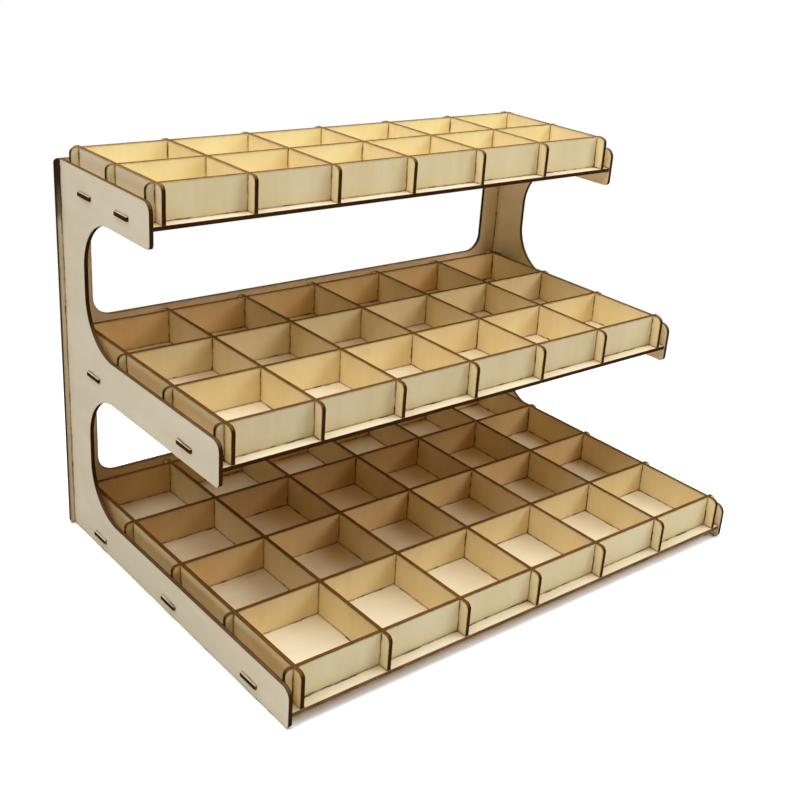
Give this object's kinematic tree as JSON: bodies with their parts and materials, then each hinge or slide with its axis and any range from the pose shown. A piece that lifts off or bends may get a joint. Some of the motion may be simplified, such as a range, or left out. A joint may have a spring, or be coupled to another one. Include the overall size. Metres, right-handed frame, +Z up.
{
  "type": "tiered desktop organizer rack",
  "caption": "Flat-pack plywood desktop rack: stepped trays of open square compartments between two side panels with rounded cut-outs and a back panel with windows.",
  "frame": {"origin": "centre of the footprint's bounding box, on the ground plane under the rack", "axes": "+X across the width towards the rack's right as seen from the front, +Y towards the back panel, so the open front faces -Y, +Z up"},
  "size_m": [0.2956, 0.2046, 0.2013],
  "materials": {
    "panel_ply": "bare pale plywood, edges browned by laser cutting",
    "floor_ply": "bare pale plywood, edges browned by laser cutting",
    "slat_ply": "bare pale plywood, edges browned by laser cutting"
  },
  "bodies": {
    "root": {"side_panel_left": "panel_ply", "side_panel_right": "panel_ply", "back_panel": "panel_ply", "bottom_base_plate": "floor_ply", "bottom_cross_slat_1": "slat_ply", "bottom_cross_slat_2": "slat_ply", "bottom_cross_slat_3": "slat_ply", "bottom_cross_slat_4": "slat_ply", "bottom_cross_slat_5": "slat_ply", "bottom_long_slat_1": "slat_ply", "bottom_long_slat_2": "slat_ply", "bottom_long_slat_3": "slat_ply", "bottom_long_slat_4": "slat_ply", "bottom_long_slat_5": "slat_ply", "bottom_long_slat_6": "slat_ply", "bottom_long_slat_7": "slat_ply", "middle_base_plate": "floor_ply", "middle_cross_slat_1": "slat_ply", "middle_cross_slat_2": "slat_ply", "middle_cross_slat_3": "slat_ply", "middle_cross_slat_4": "slat_ply", "middle_long_slat_1": "slat_ply", "middle_long_slat_2": "slat_ply", "middle_long_slat_3": "slat_ply", "middle_long_slat_4": "slat_ply", "middle_long_slat_5": "slat_ply", "middle_long_slat_6": "slat_ply", "middle_long_slat_7": "slat_ply", "top_base_plate": "floor_ply", "top_cross_slat_1": "slat_ply", "top_cross_slat_2": "slat_ply", "top_cross_slat_3": "slat_ply", "top_long_slat_1": "slat_ply", "top_long_slat_2": "slat_ply", "top_long_slat_3": "slat_ply", "top_long_slat_4": "slat_ply", "top_long_slat_5": "slat_ply", "top_long_slat_6": "slat_ply", "top_long_slat_7": "slat_ply"}
  },
  "joints": []
}
